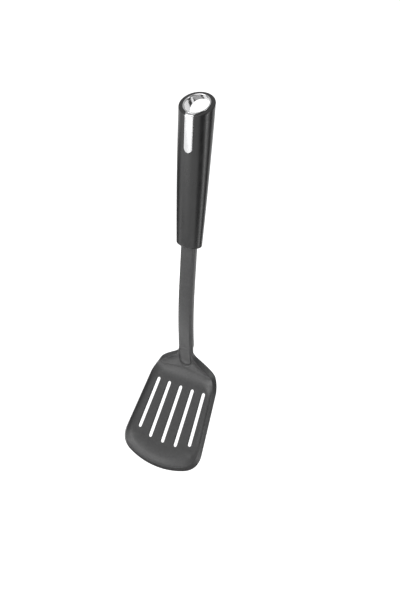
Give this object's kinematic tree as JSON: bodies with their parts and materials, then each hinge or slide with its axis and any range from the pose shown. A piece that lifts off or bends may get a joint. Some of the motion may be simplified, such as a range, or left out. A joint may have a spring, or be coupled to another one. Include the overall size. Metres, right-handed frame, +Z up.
{
  "type": "slotted turner",
  "caption": "Long-handled slotted kitchen turner with a flat angled blade, a tapered soft grip and a chrome hanging ring.",
  "frame": {"origin": "centre of the hanging ring in the grip's slanted end face", "axes": "+Z runs up the grip's axis, the food side of the blade faces -Y, +X runs across the blade; the turner hangs straight down from the ring"},
  "size_m": [0.0834, 0.0605, 0.3465],
  "materials": {
    "head_nylon": "satin moulded nylon",
    "core_plastic": "plain moulded",
    "grip_soft": "soft-touch satin",
    "trim_chrome": "bright plated",
    "pin_steel": "drawn"
  },
  "bodies": {
    "root": {"turner_head": "head_nylon", "core_front": "core_plastic", "core_rear": "core_plastic", "tang_pins": "pin_steel", "grip_sleeve": "grip_soft", "ring_trim": "trim_chrome", "hole_liner": "trim_chrome"}
  },
  "joints": []
}
